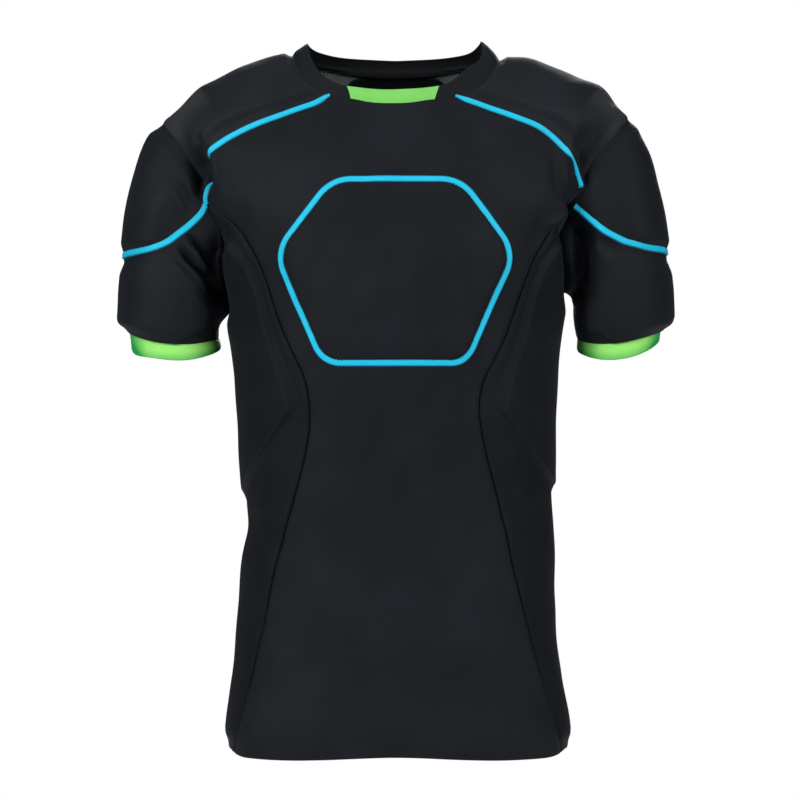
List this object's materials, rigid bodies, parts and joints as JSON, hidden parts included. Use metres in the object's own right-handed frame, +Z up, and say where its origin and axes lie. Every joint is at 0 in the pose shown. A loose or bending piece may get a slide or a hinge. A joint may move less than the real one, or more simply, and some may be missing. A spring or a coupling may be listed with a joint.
{
  "type": "padded rugby top",
  "caption": "Hollow short-sleeved stretch top with foam pads at shoulders, upper arms, chest, back and ribs, flat seams, and elastic neck tab and cuffs.",
  "frame": {"origin": "between the shoulders at the height of the neck base, where the wearer's shoulders carry the top", "axes": "+Z up from hem to neck, -Y out of the front, +X to the right of a viewer who faces the front"},
  "size_m": [0.556, 0.268, 0.7061],
  "materials": {
    "body_cloth": "black stretch jersey, smooth and slightly sheened",
    "side_cloth": "black fine mesh jersey",
    "pad_cloth": "black stretch jersey over foam",
    "sleeve_cloth": "black stretch jersey over foam",
    "collar_cloth": "black ribbed binding",
    "cyan_thread": "cyan flat seam thread",
    "green_elastic": "green woven elastic"
  },
  "bodies": {
    "root": {"front_panel": "body_cloth", "back_panel": "body_cloth", "chest_pad": "body_cloth", "back_pad": "body_cloth", "side_panel_left": "side_cloth", "side_panel_right": "side_cloth", "shoulder_yoke_left": "pad_cloth", "shoulder_yoke_right": "pad_cloth", "upper_sleeve_left": "sleeve_cloth", "upper_sleeve_right": "sleeve_cloth", "lower_sleeve_left": "sleeve_cloth", "lower_sleeve_right": "sleeve_cloth", "cuff_left": "green_elastic", "cuff_right": "green_elastic", "neck_tab": "green_elastic", "collar": "collar_cloth", "chest_band": "cyan_thread", "back_band": "cyan_thread", "front_seam_band_left": "cyan_thread", "front_seam_band_right": "cyan_thread", "back_seam_band_left": "cyan_thread", "back_seam_band_right": "cyan_thread", "sleeve_seam_band_left": "cyan_thread", "sleeve_seam_band_right": "cyan_thread"}
  },
  "joints": []
}
